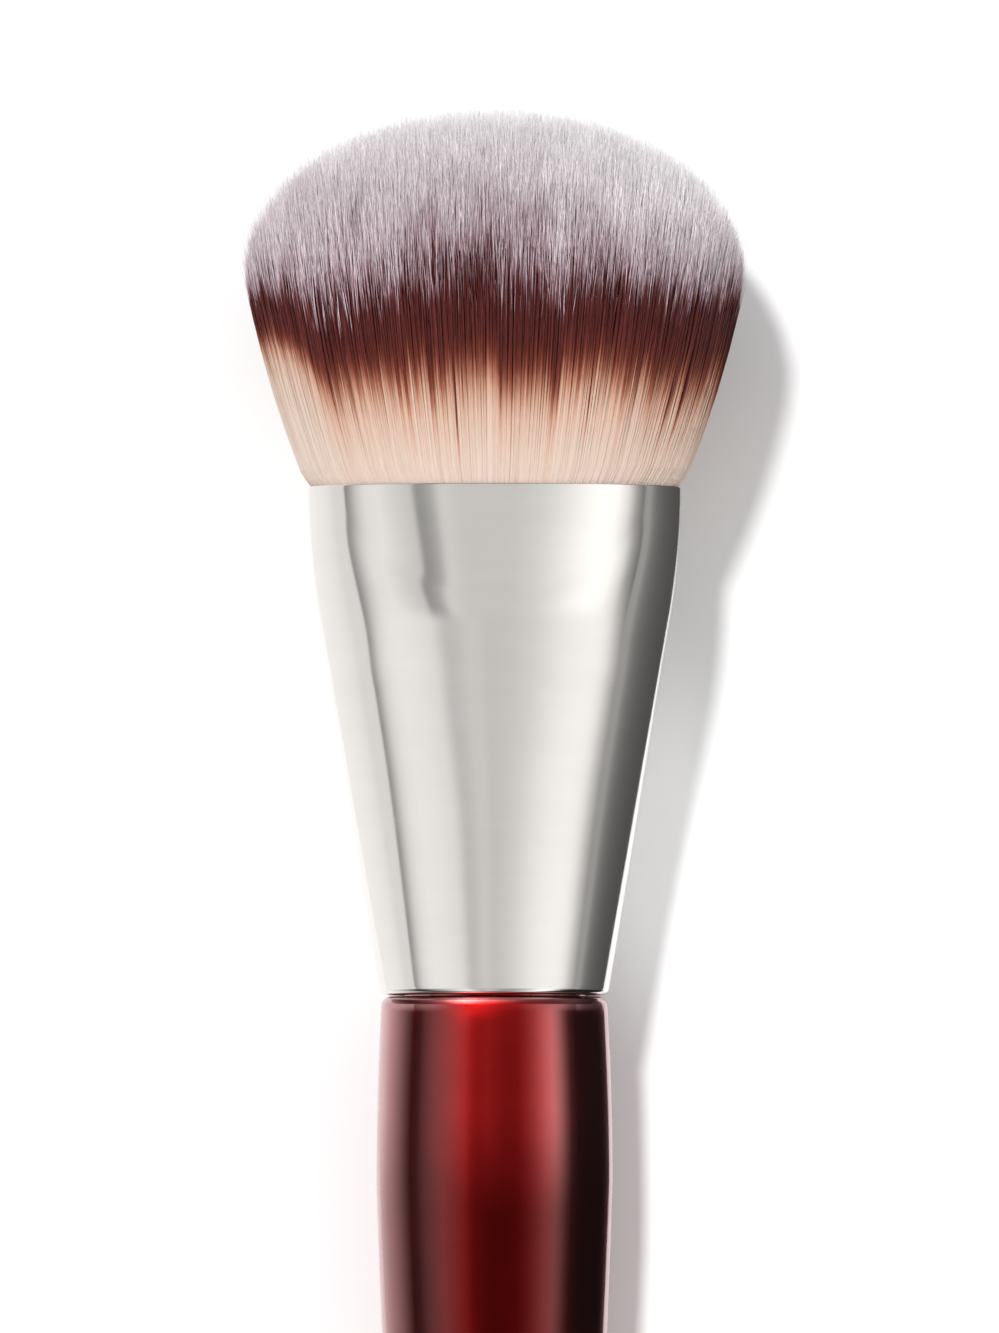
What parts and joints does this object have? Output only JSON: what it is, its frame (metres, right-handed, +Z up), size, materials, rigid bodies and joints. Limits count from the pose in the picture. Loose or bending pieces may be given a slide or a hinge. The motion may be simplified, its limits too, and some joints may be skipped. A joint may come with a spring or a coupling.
{
  "type": "foundation brush",
  "caption": "Make-up brush with a dense domed oval head of dipped synthetic hair, a conical plated ferrule pressed oval at the mouth and a tapering lacquered wooden handle.",
  "frame": {"origin": "on the surface that the brush lies on, under the middle of its length and width", "axes": "+Y along the brush from the handle's end towards the hair, +Z up out of the broad face, +X across the head's width"},
  "size_m": [0.0374, 0.165, 0.0297],
  "materials": {
    "dipped_fibre": "fine matt synthetic hair, cream at the root, burgundy brown in a band and lilac grey at the tips",
    "waxed_thread": "waxed cotton thread",
    "clear_resin": "cured amber resin",
    "nickel_plate": "polished warm nickel plate on brass",
    "wood_glue": "set glue",
    "red_lacquer": "turned wood under glossy transparent red lacquer on a silvery base coat"
  },
  "bodies": {
    "root": {"bristle_head": "dipped_fibre", "binding_thread": "waxed_thread", "root_resin": "clear_resin", "ferrule": "nickel_plate", "tenon_glue": "wood_glue", "handle": "red_lacquer"}
  },
  "joints": []
}
